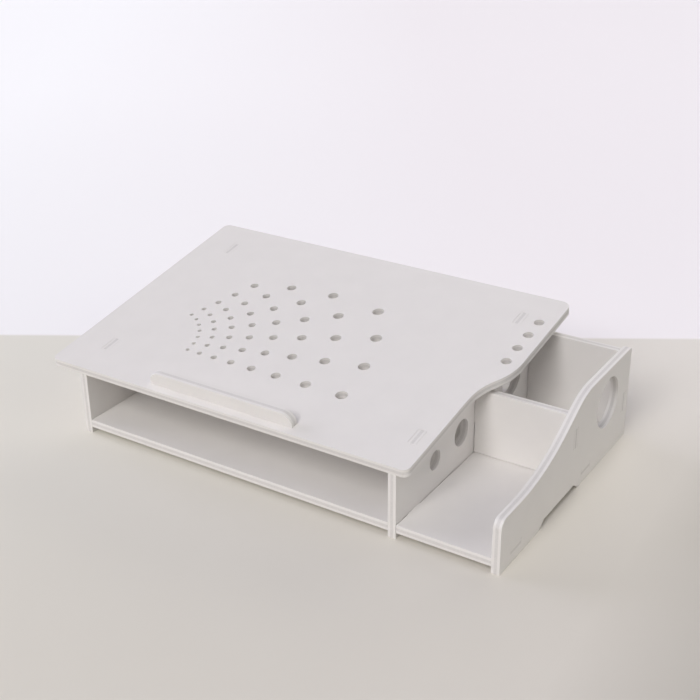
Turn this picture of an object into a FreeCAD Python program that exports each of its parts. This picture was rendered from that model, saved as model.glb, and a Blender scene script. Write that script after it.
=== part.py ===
import FreeCAD, Part
import math
import os

from FreeCAD import Placement, Rotation, Vector

# Desk stand for a laptop, with an open tray along its right-hand side. Every piece is routed from
# one thickness of rigid foam board, and tabs in slots hold the pieces together without screws.
# Sizes are in millimetres. The origin is on the desk under the middle of the overall box, with X
# along the front from the stand to the tray, Y towards the back and Z up.

# Board and joints
BOARD = 8.0
TAB_LENGTH = 20.0
SLOT_GAP = 0.15

# Upright panels
BAY_WIDTH = 340.0
PANEL_DEPTH = 271.0
FRONT_HEIGHT = 64.0
FLOOR_GAP = 6.5
FOOT_FRONT = 77.0
FOOT_ARCH = 81.0
FOOT_SLANT = 8.5

# Sloping top, with its lengths measured up the slope from the front edge
TOP_TILT = 9.5
TOP_LENGTH = 288.5
TOP_CORNER = 7.0
TOP_OUTER_CORNER = 10.0
LEFT_OVERHANG = 35.4
TRAY_OVERLAP_FRONT = 11.0
TRAY_OVERLAP_BACK = 30.4
SWEEP_START = 128.0
SWEEP_END = 160.5
SWEEP_START_RADIUS = 66.0
SWEEP_END_RADIUS = 66.0
TOP_TAB_FRONT = 44.0
TOP_TAB_BACK = 245.5

# Fan of cooling holes: rings round a point near the front left corner of the top
FAN_INSET = 61.5
FAN_UP = 67.8
FAN_RAYS = 7
FAN_RAY_ANGLE = 11.5
FAN_RINGS = 8
FAN_FIRST_RING = 55.9
FAN_RING_STEP = 14.7
FAN_RING_RATIO = 1.179
FAN_FIRST_HOLE = 4.0
FAN_HOLE_GROWTH = 1.1
FAN_BACK_MARGIN = 76.0

# Row of pen holes beside the tray
PEN_HOLE = 10.0
PEN_HOLE_INSET = 15.1
PEN_HOLE_FIRST = 175.6
PEN_HOLE_PITCH = 23.3
PEN_HOLES = 4

# Stop bar that keeps the laptop on the slope
BAR_LENGTH = 162.0
BAR_HEIGHT = 13.5
BAR_CORNER = 11.5
BAR_FROM_LEFT = 120.0
BAR_FROM_FRONT = 8.0
BAR_TAB_INSET = 36.0

# Shelf, and the brace that closes the top of the bay at the back
SHELF_TAB_FRONT = 60.0
SHELF_TAB_BACK = 207.0
BRACE_HEIGHT = 46.0
REAR_INSET = 6.5

# Side tray
TRAY_WIDTH = 90.5
TRAY_TAB_FRONT = 30.0
TRAY_TAB_BACK = 175.0
DIVIDER_FRONT = 142.0
DIVIDER_TOP = 81.0
DIVIDER_TAB_HEIGHT = 56.8
BACK_TAB_HEIGHT = 41.0

# Outer panel of the tray: low at the front, with a long swell up to its full height
OUTER_FRONT_HEIGHT = 52.3
OUTER_BACK_HEIGHT = 95.0
OUTER_NOSE = 9.0
SWELL_START = 84.5
SWELL_END = 164.5
SWELL_LOW_RADIUS = 195.0
SWELL_HIGH_RADIUS = 75.0
OUTER_BACK_CORNER = 2.5

# Round cable holes: two behind the front edge of the right panel, and a pair on one axis
# through both walls of the tray's back compartment
SMALL_HOLE = 19.0
SMALL_HOLE_BACK = 68.0
SMALL_HOLE_HEIGHT = 44.0
MIDDLE_HOLE = 26.0
MIDDLE_HOLE_BACK = 117.0
MIDDLE_HOLE_HEIGHT = 47.7
LARGE_HOLE = 41.0
OUTER_HOLE = 50.0
HOLE_PAIR_FROM_BACK = 52.0
HOLE_PAIR_HEIGHT = 59.5

# Places that follow from the sizes above
SLOPE = math.radians(TOP_TILT)
OVERALL_WIDTH = LEFT_OVERHANG + BAY_WIDTH + TRAY_WIDTH + 3 * BOARD
TOP_LEFT_X = -OVERALL_WIDTH / 2
LEFT_PANEL_X = TOP_LEFT_X + LEFT_OVERHANG
BAY_X = LEFT_PANEL_X + BOARD
RIGHT_PANEL_X = BAY_X + BAY_WIDTH
TRAY_X = RIGHT_PANEL_X + BOARD
OUTER_PANEL_X = TRAY_X + TRAY_WIDTH
FRONT_Y = (BOARD * math.sin(SLOPE) - TOP_LENGTH * math.cos(SLOPE)) / 2
FLOOR_TOP = FLOOR_GAP + BOARD
REAR_BOARD_BACK = PANEL_DEPTH - REAR_INSET
REAR_BOARD_FRONT = REAR_BOARD_BACK - BOARD
HOLE_PAIR_BACK = PANEL_DEPTH - HOLE_PAIR_FROM_BACK

# Ways a flat board stands in the object: as drawn, across it or from front to back
LYING = Rotation()
ACROSS = Rotation(Vector(1, 0, 0), 90)
FRONT_TO_BACK = Rotation(Vector(1, 1, 1), 120)
ON_SLOPE = Placement(Vector(0, FRONT_Y, FRONT_HEIGHT), Rotation(Vector(1, 0, 0), TOP_TILT))


def underside_height(depth):
    # Height of the top's underside at a distance behind the front edge
    return FRONT_HEIGHT + depth * math.tan(SLOPE)


def corner(u, v, radius=0.0):
    return Vector(u, v, 0), radius


def tabbed_edge(start, end, tab_centres):
    # Corners of a straight edge that steps out round each tab. The outline runs anticlockwise,
    # so the outside is on the right of the direction of travel.
    along = (end - start).normalize()
    outward = Vector(along.y, -along.x, 0)
    corners = [(start, 0.0)]
    for centre in tab_centres:
        first = start + along * (centre - TAB_LENGTH / 2)
        last = start + along * (centre + TAB_LENGTH / 2)
        for point in (first, first + outward * BOARD, last + outward * BOARD, last):
            corners.append((point, 0.0))
    corners.append((end, 0.0))
    return corners


def outline(corners):
    # Flat face inside straight edges, with each corner rounded to its own radius
    edges = []
    ends = []
    for index, (point, radius) in enumerate(corners):
        before = (corners[index - 1][0] - point).normalize()
        after = (corners[(index + 1) % len(corners)][0] - point).normalize()
        if radius == 0:
            ends.append((point, point))
            continue
        half_angle = before.getAngle(after) / 2
        reach = radius / math.tan(half_angle)
        middle = (before + after).normalize() * (radius / math.sin(half_angle) - radius)
        ends.append((point + before * reach, point + after * reach))
        edges.append(Part.Arc(ends[-1][0], point + middle, ends[-1][1]).toShape())
    for index in range(len(ends)):
        start = ends[index][1]
        end = ends[(index + 1) % len(ends)][0]
        edges.append(Part.makeLine(start, end))
    return Part.Face(Part.Wire(Part.__sortEdges__(edges)))


def round_hole(u, v, diameter):
    return Part.Face(Part.Wire(Part.makeCircle(diameter / 2, Vector(u, v, 0))))


def slot(u, v, along_u=False):
    # Slot centred on (u, v) for one tab, with clearance all round
    long_side = TAB_LENGTH + 2 * SLOT_GAP
    short_side = BOARD + 2 * SLOT_GAP
    width = long_side if along_u else short_side
    height = short_side if along_u else long_side
    return Part.makePlane(width, height, Vector(u - width / 2, v - height / 2, 0))


def routed_board(face, openings, placement):
    # One board, cut to its outline and openings and put in its place
    if openings:
        face = face.cut(openings).Faces[0]
    solid = face.extrude(Vector(0, 0, BOARD))
    solid.Placement = placement
    return solid


def foot_corners():
    # Bottom edge of an upright panel: a front foot, a shallow arch and a back foot
    arch_end = FOOT_FRONT + FOOT_ARCH
    return [
        corner(0, 0),
        corner(FOOT_FRONT, 0),
        corner(FOOT_FRONT + FOOT_SLANT, FLOOR_GAP),
        corner(arch_end - FOOT_SLANT, FLOOR_GAP),
        corner(arch_end, 0),
        corner(PANEL_DEPTH, 0),
    ]


def sloped_panel_outline():
    # Upright panel under the top, with two tabs square to its sloping edge
    back = Vector(PANEL_DEPTH, underside_height(PANEL_DEPTH), 0)
    front = Vector(0, FRONT_HEIGHT, 0)
    edge_length = PANEL_DEPTH / math.cos(SLOPE)
    tab_centres = [edge_length - TOP_TAB_BACK, edge_length - TOP_TAB_FRONT]
    return outline(foot_corners() + tabbed_edge(back, front, tab_centres))


def shelf_slots():
    middle = FLOOR_GAP + BOARD / 2
    return [slot(depth, middle, along_u=True) for depth in (SHELF_TAB_FRONT, SHELF_TAB_BACK)]


def brace_slot():
    return slot(REAR_BOARD_FRONT + BOARD / 2, brace_middle())


def brace_middle():
    return underside_height(REAR_BOARD_FRONT) - BRACE_HEIGHT / 2


def tray_slots():
    middle = FLOOR_GAP + BOARD / 2
    slots = [slot(depth, middle, along_u=True) for depth in (TRAY_TAB_FRONT, TRAY_TAB_BACK)]
    slots.append(slot(DIVIDER_FRONT + BOARD / 2, DIVIDER_TAB_HEIGHT))
    slots.append(slot(REAR_BOARD_FRONT + BOARD / 2, BACK_TAB_HEIGHT))
    return slots


def make_left_side_panel():
    place = Placement(Vector(LEFT_PANEL_X, FRONT_Y, 0), FRONT_TO_BACK)
    return routed_board(sloped_panel_outline(), shelf_slots() + [brace_slot()], place)


def make_right_side_panel():
    # Carries the stand on its left and the tray on its right
    openings = shelf_slots() + [brace_slot()] + tray_slots()
    openings.append(round_hole(SMALL_HOLE_BACK, SMALL_HOLE_HEIGHT, SMALL_HOLE))
    openings.append(round_hole(MIDDLE_HOLE_BACK, MIDDLE_HOLE_HEIGHT, MIDDLE_HOLE))
    openings.append(round_hole(HOLE_PAIR_BACK, HOLE_PAIR_HEIGHT, LARGE_HOLE))
    place = Placement(Vector(RIGHT_PANEL_X, FRONT_Y, 0), FRONT_TO_BACK)
    return routed_board(sloped_panel_outline(), openings, place)


def fan_holes():
    # Holes on evenly turned rays, wider and further apart from ring to ring, and none near the
    # back edge of the top
    holes = []
    for ray in range(FAN_RAYS):
        angle = math.radians(ray * FAN_RAY_ANGLE)
        radius = FAN_FIRST_RING
        step = FAN_RING_STEP
        for ring in range(FAN_RINGS):
            u = FAN_INSET + radius * math.cos(angle)
            v = FAN_UP + radius * math.sin(angle)
            if v < TOP_LENGTH - FAN_BACK_MARGIN:
                holes.append(round_hole(u, v, FAN_FIRST_HOLE + ring * FAN_HOLE_GROWTH))
            radius += step
            step *= FAN_RING_RATIO
    return holes


def bar_slots():
    v = BAR_FROM_FRONT + BOARD / 2
    inner = BAR_FROM_LEFT + BAR_TAB_INSET
    outer = BAR_FROM_LEFT + BAR_LENGTH - BAR_TAB_INSET
    return [slot(u, v, along_u=True) for u in (inner, outer)]


def make_top_panel():
    # Drawn from the top's own front left corner
    right_panel = LEFT_OVERHANG + BAY_WIDTH + 2 * BOARD
    front_right = right_panel + TRAY_OVERLAP_FRONT
    back_right = right_panel + TRAY_OVERLAP_BACK
    face = outline([
        corner(0, 0, TOP_CORNER),
        corner(front_right, 0, TOP_CORNER),
        corner(front_right, SWEEP_START, SWEEP_START_RADIUS),
        corner(back_right, SWEEP_END, SWEEP_END_RADIUS),
        corner(back_right, TOP_LENGTH, TOP_OUTER_CORNER),
        corner(0, TOP_LENGTH, TOP_CORNER),
    ])
    openings = fan_holes() + bar_slots()
    for u in (LEFT_OVERHANG + BOARD / 2, right_panel - BOARD / 2):
        openings += [slot(u, v) for v in (TOP_TAB_FRONT, TOP_TAB_BACK)]
    for index in range(PEN_HOLES):
        v = PEN_HOLE_FIRST + index * PEN_HOLE_PITCH
        openings.append(round_hole(back_right - PEN_HOLE_INSET, v, PEN_HOLE))
    place = ON_SLOPE * Placement(Vector(TOP_LEFT_X, 0, 0), LYING)
    return routed_board(face, openings, place)


def make_laptop_stop_bar():
    # Stands on the top near its front edge, with two tabs down into it
    tab_centres = [BAR_TAB_INSET, BAR_LENGTH - BAR_TAB_INSET]
    corners = tabbed_edge(Vector(0, 0, 0), Vector(BAR_LENGTH, 0, 0), tab_centres)
    corners.append(corner(BAR_LENGTH, BAR_HEIGHT, BAR_CORNER))
    corners.append(corner(0, BAR_HEIGHT, BAR_CORNER))
    on_top = Vector(TOP_LEFT_X + BAR_FROM_LEFT, BAR_FROM_FRONT + BOARD, BOARD)
    return routed_board(outline(corners), [], ON_SLOPE * Placement(on_top, ACROSS))


def floor_outline(width, tab_centres):
    # Lying board with the same tabs in its two side edges
    mirrored = [PANEL_DEPTH - centre for centre in reversed(tab_centres)]
    right = tabbed_edge(Vector(width, 0, 0), Vector(width, PANEL_DEPTH, 0), tab_centres)
    left = tabbed_edge(Vector(0, PANEL_DEPTH, 0), Vector(0, 0, 0), mirrored)
    return outline(right + left)


def make_bottom_shelf():
    face = floor_outline(BAY_WIDTH, [SHELF_TAB_FRONT, SHELF_TAB_BACK])
    return routed_board(face, [], Placement(Vector(BAY_X, FRONT_Y, FLOOR_GAP), LYING))


def make_tray_base():
    face = floor_outline(TRAY_WIDTH, [TRAY_TAB_FRONT, TRAY_TAB_BACK])
    return routed_board(face, [], Placement(Vector(TRAY_X, FRONT_Y, FLOOR_GAP), LYING))


def cross_board(x, width, bottom, top, back_depth, tab_height):
    # Upright board between two panels, with one tab in each end
    height = top - bottom
    up = tab_height - bottom
    right = tabbed_edge(Vector(width, 0, 0), Vector(width, height, 0), [up])
    left = tabbed_edge(Vector(0, height, 0), Vector(0, 0, 0), [height - up])
    place = Placement(Vector(x, FRONT_Y + back_depth, bottom), ACROSS)
    return routed_board(outline(right + left), [], place)


def make_rear_brace():
    top = underside_height(REAR_BOARD_FRONT)
    bottom = top - BRACE_HEIGHT
    return cross_board(BAY_X, BAY_WIDTH, bottom, top, REAR_BOARD_BACK, brace_middle())


def make_tray_divider():
    back = DIVIDER_FRONT + BOARD
    return cross_board(TRAY_X, TRAY_WIDTH, FLOOR_TOP, DIVIDER_TOP, back, DIVIDER_TAB_HEIGHT)


def make_tray_back_panel():
    top = OUTER_BACK_HEIGHT
    return cross_board(TRAY_X, TRAY_WIDTH, FLOOR_TOP, top, REAR_BOARD_BACK, BACK_TAB_HEIGHT)


def make_tray_outer_panel():
    face = outline(foot_corners() + [
        corner(PANEL_DEPTH, OUTER_BACK_HEIGHT, OUTER_BACK_CORNER),
        corner(SWELL_END, OUTER_BACK_HEIGHT, SWELL_HIGH_RADIUS),
        corner(SWELL_START, OUTER_FRONT_HEIGHT, SWELL_LOW_RADIUS),
        corner(0, OUTER_FRONT_HEIGHT, OUTER_NOSE),
    ])
    openings = tray_slots() + [round_hole(HOLE_PAIR_BACK, HOLE_PAIR_HEIGHT, OUTER_HOLE)]
    place = Placement(Vector(OUTER_PANEL_X, FRONT_Y, 0), FRONT_TO_BACK)
    return routed_board(face, openings, place)


PIECES = {
    "top_panel": make_top_panel,
    "laptop_stop_bar": make_laptop_stop_bar,
    "left_side_panel": make_left_side_panel,
    "right_side_panel": make_right_side_panel,
    "bottom_shelf": make_bottom_shelf,
    "rear_brace": make_rear_brace,
    "tray_base": make_tray_base,
    "tray_divider": make_tray_divider,
    "tray_back_panel": make_tray_back_panel,
    "tray_outer_panel": make_tray_outer_panel,
}

os.makedirs("parts", exist_ok=True)
for name, make_piece in PIECES.items():
    make_piece().exportStep("parts/" + name + ".step")
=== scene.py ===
import bpy
import math
from mathutils import Matrix, Vector


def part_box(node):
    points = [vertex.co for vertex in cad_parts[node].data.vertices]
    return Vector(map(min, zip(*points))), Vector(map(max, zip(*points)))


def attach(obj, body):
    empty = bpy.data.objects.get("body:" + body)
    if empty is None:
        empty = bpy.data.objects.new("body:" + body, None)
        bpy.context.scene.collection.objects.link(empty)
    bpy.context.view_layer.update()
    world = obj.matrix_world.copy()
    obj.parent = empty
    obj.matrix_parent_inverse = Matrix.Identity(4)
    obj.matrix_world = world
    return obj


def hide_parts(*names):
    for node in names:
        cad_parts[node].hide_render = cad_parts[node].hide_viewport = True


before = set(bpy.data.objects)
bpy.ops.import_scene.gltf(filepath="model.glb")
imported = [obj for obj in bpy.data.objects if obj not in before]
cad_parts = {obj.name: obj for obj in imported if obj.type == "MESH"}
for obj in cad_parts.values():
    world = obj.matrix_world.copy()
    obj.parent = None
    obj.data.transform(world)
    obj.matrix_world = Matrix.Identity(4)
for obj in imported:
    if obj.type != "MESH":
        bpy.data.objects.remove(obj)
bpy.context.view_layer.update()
mm = 0.001
hair = 0.002 * mm  # corners nearer than this are one corner
touch = 0.05 * mm  # faces nearer than this touch
print("frame loaded:", len(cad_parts), "boards")


def srgb(hexColour, factor=1.0):  # sRGB hex to linear RGBA, lighter or darker by the factor
    parts = [int(hexColour[i:i + 2], 16) / 255 for i in (0, 2, 4)]
    linear = [c / 12.92 if c <= 0.04045 else ((c + 0.055) / 1.055) ** 2.4 for c in parts]
    return [min(c * factor, 1.0) for c in linear] + [1.0]


def addNode(tree, kind, settings=None, links=None):
    node = tree.nodes.new(kind)
    for name, value in (settings or {}).items():
        if isinstance(name, str) and hasattr(node, name):
            setattr(node, name, value)
        else:
            node.inputs[name].default_value = value
    for name, source in (links or {}).items():
        tree.links.new(source, node.inputs[name])
    return node


def newMaterial(name):
    material = bpy.data.materials.new(name)
    material.use_nodes = True
    return material, material.node_tree, material.node_tree.nodes["Principled BSDF"]


view = {
    "place": (0.60007, -0.91238, 0.62284),
    "turn": 32.856,  # degrees, to the left of +Y
    "pitchDown": 26.298,
    "roll": -0.643,
    "lens": 64.777,  # millimetres, as the sensor's width is
    "sensor": 36,
}


def makeCamera(values):
    camera = bpy.data.objects.new("camera", bpy.data.cameras.new("camera"))
    bpy.context.collection.objects.link(camera)
    camera.data.lens = values["lens"]
    camera.data.sensor_width = values["sensor"]
    aim = Matrix.Rotation(math.radians(values["turn"]), 4, "Z")
    aim = aim @ Matrix.Rotation(math.radians(90 - values["pitchDown"]), 4, "X")
    aim = aim @ Matrix.Rotation(math.radians(values["roll"]), 4, "Z")
    camera.matrix_world = Matrix.Translation(values["place"]) @ aim
    bpy.context.scene.camera = camera


makeCamera(view)
print("camera placed")


board = {
    "arris": 0.4 * mm,  # rounding of the routed outlines, where the cutter's edge was broken
    "jointArris": 0.3 * mm,  # rounding of tabs, slots and round holes
    "arrisSteps": 3,
    "buttGap": 0.4 * mm,  # joint line where a tray board stops against its neighbour
    "longestTab": 22 * mm,
    "widestHole": 60 * mm,
    "broadFace": 0.99,  # cosine from the way through the board, past which a face is broad
    "cornerTurn": 50,  # degrees between two faces of the edge, past which they meet in a corner
    "tabTurn": 60,  # degrees at both ends of a tab's or a slot's short edge, at the least
    "flatTurn": 0.5,  # degrees between triangles of one flat face, at the most
    "skinColour": "E5E2DF",
    "skinTones": (0.985, 1.012),
    "skinRoughness": (0.45, 0.52),
    "coreColour": "D7D4D1",
    "coreTones": (0.955, 1.03),
    "coreRoughness": 0.72,
    "coreEnds": 0.22,  # on the routed edge, as a share of half the thickness
    "skinStarts": 0.5,
    "ior": 1.53,
    "mottle": 28 * mm,  # slow unevenness of the moulded skin
    "peel": 3.2 * mm,  # orange peel is finer than this, drawn coarser so that it shows
    "peelDepth": 0.018 * mm,
    "cell": 1.5 * mm,  # foam cells are about 0.3 mm, drawn coarser so that they show
    "cellDepth": 0.06 * mm,
    "noiseSpan": (0.3, 0.7),  # the part of a noise pattern that is stretched to 0 and 1
}


def broadNormal(mesh):  # the way through the board: the normal of its largest flat area
    areas = {}
    for face in mesh.polygons:
        key = tuple(round(abs(c), 3) for c in face.normal)
        area, _ = areas.get(key, (0, None))
        areas[key] = (area + face.area, face.normal.copy())
    return max(areas.values(), key=lambda entry: entry[0])[1]


def sortEdges(mesh, through, values):  # the outlines' edges, and the corner edges through the board
    around = {}
    for face in mesh.polygons:
        for key in face.edge_keys:
            around.setdefault(key, []).append(face)
    cornerTurn = math.radians(values["cornerTurn"])
    rims, corners = {}, []
    for edge in mesh.edges:
        first, second = around[edge.key]
        broad = [abs(face.normal.dot(through)) > values["broadFace"] for face in (first, second)]
        if broad[0] != broad[1]:
            rims[edge.index] = edge
        elif not any(broad) and first.normal.angle(second.normal) > cornerTurn:
            corners.append(edge)
    return rims, corners


def eachOutline(rims, meeting):  # one closed outline after another, as a list of its edges
    left = set(rims)
    while left:
        outline, reach = [], [left.pop()]
        while reach:
            edge = rims[reach.pop()]
            outline.append(edge)
            for vertex in edge.vertices:
                for other in meeting[vertex]:
                    if other.index in left:
                        left.remove(other.index)
                        reach.append(other.index)
        yield outline


def arrisWeights(mesh, through, values):
    rims, corners = sortEdges(mesh, through, values)
    place = [v.co for v in mesh.vertices]
    meeting = {}
    for edge in rims.values():
        for vertex in edge.vertices:
            meeting.setdefault(vertex, []).append(edge)

    def turnsAt(edge, vertex):
        other = [e for e in meeting[vertex] if e.index != edge.index][0]
        along = [place[e.vertices[1]] - place[e.vertices[0]] for e in (edge, other)]
        angle = along[0].angle(along[1])
        return min(angle, math.pi - angle) > math.radians(values["tabTurn"])

    small = values["jointArris"] / values["arris"]
    weights = {}
    for outline in eachOutline(rims, meeting):
        points = [place[v] for edge in outline for v in edge.vertices]
        width = max(max(p[i] for p in points) - min(p[i] for p in points) for i in range(3))
        for edge in outline:
            length = (place[edge.vertices[0]] - place[edge.vertices[1]]).length
            tab = length < values["longestTab"] and all(turnsAt(edge, v) for v in edge.vertices)
            weights[edge.index] = small if tab or width < values["widestHole"] else 1.0
    for edge in corners:
        beside = [weights[e.index] for v in edge.vertices for e in meeting.get(v, [])]
        weights[edge.index] = min(beside, default=small)
    return [weights.get(edge.index, 0.0) for edge in mesh.edges]


butts = {  # board: its neighbours, each with the axis and the side of it that the board is on
    "tray_base": (("right_side_panel", 0, 1),),
    "tray_divider": (("right_side_panel", 0, 1), ("tray_base", 2, 1)),
    "tray_back_panel": (("right_side_panel", 0, 1), ("tray_base", 2, 1)),
}


def openButts(nodeName, mesh, gap):
    for neighbour, axis, side in butts.get(nodeName, ()):
        low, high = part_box(neighbour)
        face = (high if side > 0 else low)[axis]
        for vertex in mesh.vertices:
            if abs(vertex.co[axis] - face) < touch:
                vertex.co[axis] += side * gap


def easedBoard(nodeName, values):
    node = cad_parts[nodeName]
    piece = bpy.data.objects.new(nodeName + "_eased", node.data.copy())
    bpy.context.collection.objects.link(piece)
    piece.data.materials.clear()
    bpy.ops.object.select_all(action="DESELECT")
    piece.select_set(True)
    bpy.context.view_layer.objects.active = piece
    bpy.ops.object.mode_set(mode="EDIT")
    bpy.ops.mesh.select_all(action="SELECT")
    bpy.ops.mesh.remove_doubles(threshold=hair)
    bpy.ops.mesh.dissolve_limited(angle_limit=math.radians(values["flatTurn"]))
    bpy.ops.object.mode_set(mode="OBJECT")
    openButts(nodeName, piece.data, values["buttGap"])

    through = broadNormal(piece.data)
    weights = piece.data.attributes.new("bevel_weight_edge", "FLOAT", "EDGE")
    weights.data.foreach_set("value", arrisWeights(piece.data, through, values))
    bevel = piece.modifiers.new("arris", "BEVEL")
    bevel.width = values["arris"]
    bevel.segments = values["arrisSteps"]
    bevel.limit_method = "WEIGHT"
    bpy.ops.object.modifier_apply(modifier="arris")
    bpy.ops.object.shade_smooth()
    piece.modifiers.new("normals", "WEIGHTED_NORMAL").keep_sharp = True
    bpy.ops.object.modifier_apply(modifier="normals")
    low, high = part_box(nodeName)
    for vertex in piece.data.vertices:  # a bevelled corner may swell past the board by a hair
        vertex.co = [min(max(c, a), b) for c, a, b in zip(vertex.co, low, high)]

    depths = [through.dot(v.co) for v in piece.data.vertices]
    middle = (max(depths) + min(depths)) / 2
    half = (max(depths) - min(depths)) / 2
    share = piece.data.attributes.new("throughBoard", "FLOAT", "POINT")  # -1 to 1 through the board
    share.data.foreach_set("value", [(d - middle) / half for d in depths])
    return piece


# rigid PVC foam board: a moulded skin, closed and satin, and on the routed edges between the
# two skins a matt core of fine cells, a little duller
def foamBoardMaterial(values):
    material, tree, shader = newMaterial("expanded PVC board")
    shader.inputs["IOR"].default_value = values["ior"]
    place = addNode(tree, "ShaderNodeTexCoord").outputs["Object"]
    pattern = {}
    for name, detail, rough in (("cell", 2, 0.6), ("mottle", 3, 0.5), ("peel", 2, 0.5)):
        noise = addNode(tree, "ShaderNodeTexNoise", {
            "Scale": 1 / values[name], "Detail": detail, "Roughness": rough,
        }, {"Vector": place})
        pattern[name] = addNode(tree, "ShaderNodeMapRange", {
            "From Min": values["noiseSpan"][0], "From Max": values["noiseSpan"][1],
        }, {"Value": noise.outputs["Fac"]}).outputs["Result"]

    through = addNode(tree, "ShaderNodeAttribute", {"attribute_name": "throughBoard"})
    depth = addNode(tree, "ShaderNodeMath", {"operation": "ABSOLUTE"}, {0: through.outputs["Fac"]})
    skin = addNode(tree, "ShaderNodeMapRange", {  # 0 in the core, 1 in the skin
        "interpolation_type": "SMOOTHSTEP",
        "From Min": values["coreEnds"], "From Max": values["skinStarts"],
    }, {"Value": depth.outputs[0]}).outputs["Result"]

    tinted = {}
    for name, over in (("core", "cell"), ("skin", "mottle")):
        dark, light = [srgb(values[name + "Colour"], tone) for tone in values[name + "Tones"]]
        tinted[name] = addNode(tree, "ShaderNodeMix", {"data_type": "RGBA", 6: dark, 7: light},
                               {0: pattern[over]}).outputs[2]
    colour = addNode(tree, "ShaderNodeMix", {"data_type": "RGBA"},
                     {0: skin, 6: tinted["core"], 7: tinted["skin"]})
    tree.links.new(colour.outputs[2], shader.inputs["Base Color"])

    smooth, rough = values["skinRoughness"]
    satin = addNode(tree, "ShaderNodeMath", {"operation": "MULTIPLY_ADD", 1: rough - smooth, 2: smooth},
                    {0: pattern["mottle"]})
    roughness = addNode(tree, "ShaderNodeMix", {2: values["coreRoughness"]},
                        {0: skin, 3: satin.outputs[0]})
    tree.links.new(roughness.outputs[0], shader.inputs["Roughness"])

    cells = addNode(tree, "ShaderNodeMath", {"operation": "MULTIPLY", 1: values["cellDepth"]},
                    {0: pattern["cell"]})
    peel = addNode(tree, "ShaderNodeMath", {"operation": "MULTIPLY", 1: values["peelDepth"]},
                   {0: pattern["peel"]})
    height = addNode(tree, "ShaderNodeMix", links={0: skin, 2: cells.outputs[0], 3: peel.outputs[0]})
    bump = addNode(tree, "ShaderNodeBump", {"Strength": 1.0, "Distance": 1.0},
                   {"Height": height.outputs[0]})
    tree.links.new(bump.outputs["Normal"], shader.inputs["Normal"])
    return material


boardMaterial = foamBoardMaterial(board)
for nodeName in sorted(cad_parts):
    piece = easedBoard(nodeName, board)
    piece.data.materials.append(boardMaterial)
    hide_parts(nodeName)
    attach(piece, "root")
print("boards eased")


def seenDirectly(tree):  # 1 for the camera and for what gloss and glass show, 0 for light on the object
    path = addNode(tree, "ShaderNodeLightPath")
    direct = path.outputs["Is Camera Ray"]
    for ray in ("Is Glossy Ray", "Is Transmission Ray"):
        direct = addNode(tree, "ShaderNodeMath", {"operation": "MAXIMUM"},
                         {0: direct, 1: path.outputs[ray]}).outputs[0]
    return direct


stage = {
    "size": 24.0,  # metres a side
    # painted light falloff in the next four rows: both sheets are lighter far off and on the left,
    # darker near and on the right
    "deskNear": ("E1DDD2", "D9D4CB"),  # left and right, as in the next rows
    "deskFar": ("E8E6DC", "E1DDD6"),
    "paintedCornerShade": "C1BDB4",  # painted shade: darker towards the near right corner
    "paperNear": ("F0F0F2", "ECE8EA"),
    "paperFar": ("F8F8FA", "EFEBED"),
    "paperGlow": 0.18,  # only where it is seen directly, so that it adds no light to the boards
    "blends": {  # degrees from the camera's right, then start and end in metres from under the camera
        "deskWidth": (0, -0.3, 0.3, "LINEAR"),
        "deskDepth": (90, 0.75, 1.27, "LINEAR"),
        "paintedCornerShade": (-30, -0.233, -0.128, "LINEAR"),
        "paperWidth": (0, -0.6, 0.2, "LINEAR"),
        "paperDepth": (90, 1.293, 2.4, "LINEAR"),
        "paperEdge": (87.744, 1.289, 1.297, "SMOOTHSTEP"),
    },
    "gloss": 0.5,
    "roughness": 0.6,
    "cloud": 120 * mm,
    "cloudDrift": 0.24,  # how far the clouds carry the desk's depth blend
    "grain": 4 * mm,  # the laminate's grain is finer, drawn coarser so that it shows
    "grainDepth": 0.02 * mm,
}
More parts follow.
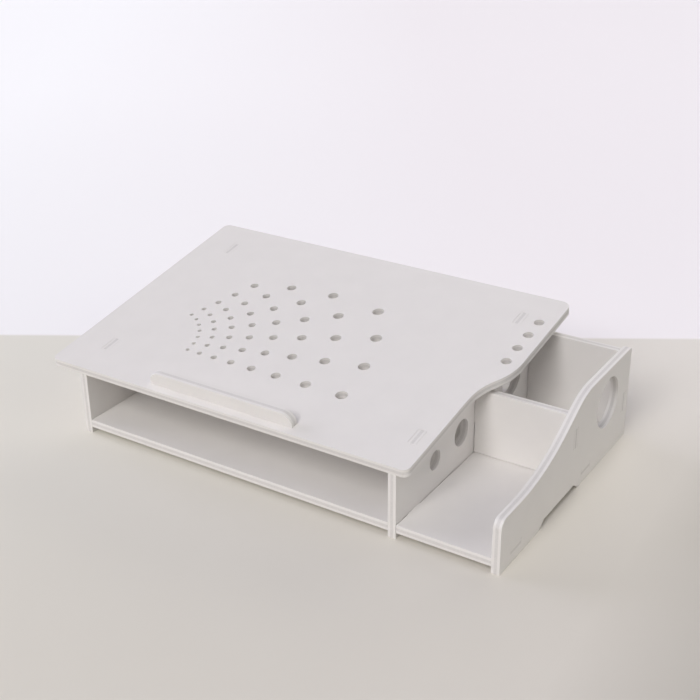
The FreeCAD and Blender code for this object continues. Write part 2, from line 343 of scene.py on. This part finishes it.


# matt laminate with a faint grain, and beyond it backdrop paper, which has no gloss at all; both are
# painted darker near the camera and to the right as painted light falloff, and the laminate darker
# still in the near right corner as painted shade
def stageMaterial(values, camera):
    material, tree, shader = newMaterial("matt laminate and backdrop paper")
    shader.inputs["Roughness"].default_value = values["roughness"]
    place = addNode(tree, "ShaderNodeTexCoord").outputs["Object"]
    foot = Vector(camera["place"])
    blend = {}
    for name, (turn, start, end, kind) in values["blends"].items():
        angle = math.radians(camera["turn"] + turn)
        way = Vector((math.cos(angle), math.sin(angle), 0))
        along = addNode(tree, "ShaderNodeVectorMath", {"operation": "DOT_PRODUCT", 1: way}, {0: place})
        blend[name] = addNode(tree, "ShaderNodeMapRange", {
            "interpolation_type": kind,
            "From Min": foot.dot(way) + start, "From Max": foot.dot(way) + end,
        }, {"Value": along.outputs["Value"]}).outputs["Result"]

    cloud = addNode(tree, "ShaderNodeTexNoise", {"Scale": 1 / values["cloud"], "Detail": 3},
                    {"Vector": place})
    drift = addNode(tree, "ShaderNodeMath", {
        "operation": "MULTIPLY_ADD", 1: values["cloudDrift"], 2: -values["cloudDrift"] / 2,
    }, {0: cloud.outputs["Fac"]})
    clouded = addNode(tree, "ShaderNodeMath", {"operation": "ADD"},
                      {0: blend["deskDepth"], 1: drift.outputs[0]}).outputs[0]

    # the near and far rows, left and right, are painted light falloff
    sheet = {}
    for name, depth in (("desk", clouded), ("paper", blend["paperDepth"])):
        rows = []
        for left, right in (values[name + "Near"], values[name + "Far"]):
            row = addNode(tree, "ShaderNodeMix", {"data_type": "RGBA", 6: srgb(left), 7: srgb(right)},
                          {0: blend[name + "Width"]})
            rows.append(row.outputs[2])
        sheet[name] = addNode(tree, "ShaderNodeMix", {"data_type": "RGBA"},
                              {0: depth, 6: rows[0], 7: rows[1]}).outputs[2]
    # painted shade: the laminate is mixed towards a dull colour near the right corner nearest the
    # camera
    tabletop = addNode(tree, "ShaderNodeMix", {"data_type": "RGBA", 7: srgb(values["paintedCornerShade"])},
                       {0: blend["paintedCornerShade"], 6: sheet["desk"]}).outputs[2]
    colour = addNode(tree, "ShaderNodeMix", {"data_type": "RGBA"},
                     {0: blend["paperEdge"], 6: tabletop, 7: sheet["paper"]})
    tree.links.new(colour.outputs[2], shader.inputs["Base Color"])

    gloss = addNode(tree, "ShaderNodeMath", {
        "operation": "MULTIPLY_ADD", 1: -values["gloss"], 2: values["gloss"],
    }, {0: blend["paperEdge"]})
    tree.links.new(gloss.outputs[0], shader.inputs["Specular IOR Level"])
    seen = addNode(tree, "ShaderNodeMath", {"operation": "MULTIPLY"},
                   {0: blend["paperEdge"], 1: seenDirectly(tree)})
    glow = addNode(tree, "ShaderNodeMath", {"operation": "MULTIPLY", 1: values["paperGlow"]},
                   {0: seen.outputs[0]})
    tree.links.new(sheet["paper"], shader.inputs["Emission Color"])
    tree.links.new(glow.outputs[0], shader.inputs["Emission Strength"])

    grain = addNode(tree, "ShaderNodeTexNoise", {"Scale": 1 / values["grain"], "Detail": 2},
                    {"Vector": place})
    bump = addNode(tree, "ShaderNodeBump", {"Strength": 1.0, "Distance": values["grainDepth"]},
                   {"Height": grain.outputs["Fac"]})
    tree.links.new(bump.outputs["Normal"], shader.inputs["Normal"])
    return material


bpy.ops.object.select_all(action="DESELECT")
bpy.ops.mesh.primitive_plane_add(size=stage["size"], location=(0, 0, 0))
desk = bpy.context.object
desk.name = "desk"
desk.data.materials.append(stageMaterial(stage, view))
print("desk laid")


room = {"colour": "FFFFFF", "strength": 0.036, "seenColour": "F4F1F0"}


def makeRoom(values):  # faint fill light from all round, and a white backdrop where it is seen
    world = bpy.data.worlds.new("white room")
    world.use_nodes = True
    tree = world.node_tree
    light = tree.nodes["Background"]
    light.inputs["Color"].default_value = srgb(values["colour"])
    light.inputs["Strength"].default_value = values["strength"]
    seen = addNode(tree, "ShaderNodeBackground", {"Color": srgb(values["seenColour"]), "Strength": 1.0})
    choice = addNode(tree, "ShaderNodeMixShader",
                     links={0: seenDirectly(tree), 1: light.outputs[0], 2: seen.outputs[0]})
    tree.links.new(choice.outputs[0], tree.nodes["World Output"].inputs["Surface"])
    bpy.context.scene.world = world


lampDistance = 2.0  # where a lamp is drawn: a sun lights the same from any distance

lamps = {  # degrees: azimuth from +X towards +Y, height above the desk, and spread of the light
    "frontLow": {"azimuth": -94, "height": 32, "spread": 15, "strength": 0.50, "colour": "FDFAFF"},
    "frontHigh": {"azimuth": -83, "height": 42, "spread": 30, "strength": 1.50, "colour": "FFFDF9"},
    "left": {"azimuth": 181, "height": 13, "spread": 44, "strength": 1.97, "colour": "EEECFF"},
    "right": {"azimuth": 0, "height": 29, "spread": 44, "strength": 0.58, "colour": "FDFDF7"},
    "back": {"azimuth": 90, "height": 15, "spread": 44, "strength": 1.07, "colour": "FFF9EF"},
    "top": {"azimuth": 0, "height": 90, "spread": 90, "strength": 0.41, "colour": "DCDCFF"},
}


def makeLamp(name, values):
    lamp = bpy.data.lights.new(name, "SUN")
    lamp.angle = math.radians(values["spread"])
    lamp.energy = values["strength"]
    lamp.color = srgb(values["colour"])[:3]
    holder = bpy.data.objects.new(name, lamp)
    bpy.context.collection.objects.link(holder)
    azimuth, height = math.radians(values["azimuth"]), math.radians(values["height"])
    flat = math.cos(height)
    aim = Vector((flat * math.cos(azimuth), flat * math.sin(azimuth), math.sin(height)))
    holder.location = aim * lampDistance
    holder.rotation_euler = aim.to_track_quat("Z", "Y").to_euler()


makeRoom(room)
for name, values in lamps.items():
    makeLamp(name, values)
print("lamps set")

bpy.context.scene.view_settings.view_transform = "Standard"
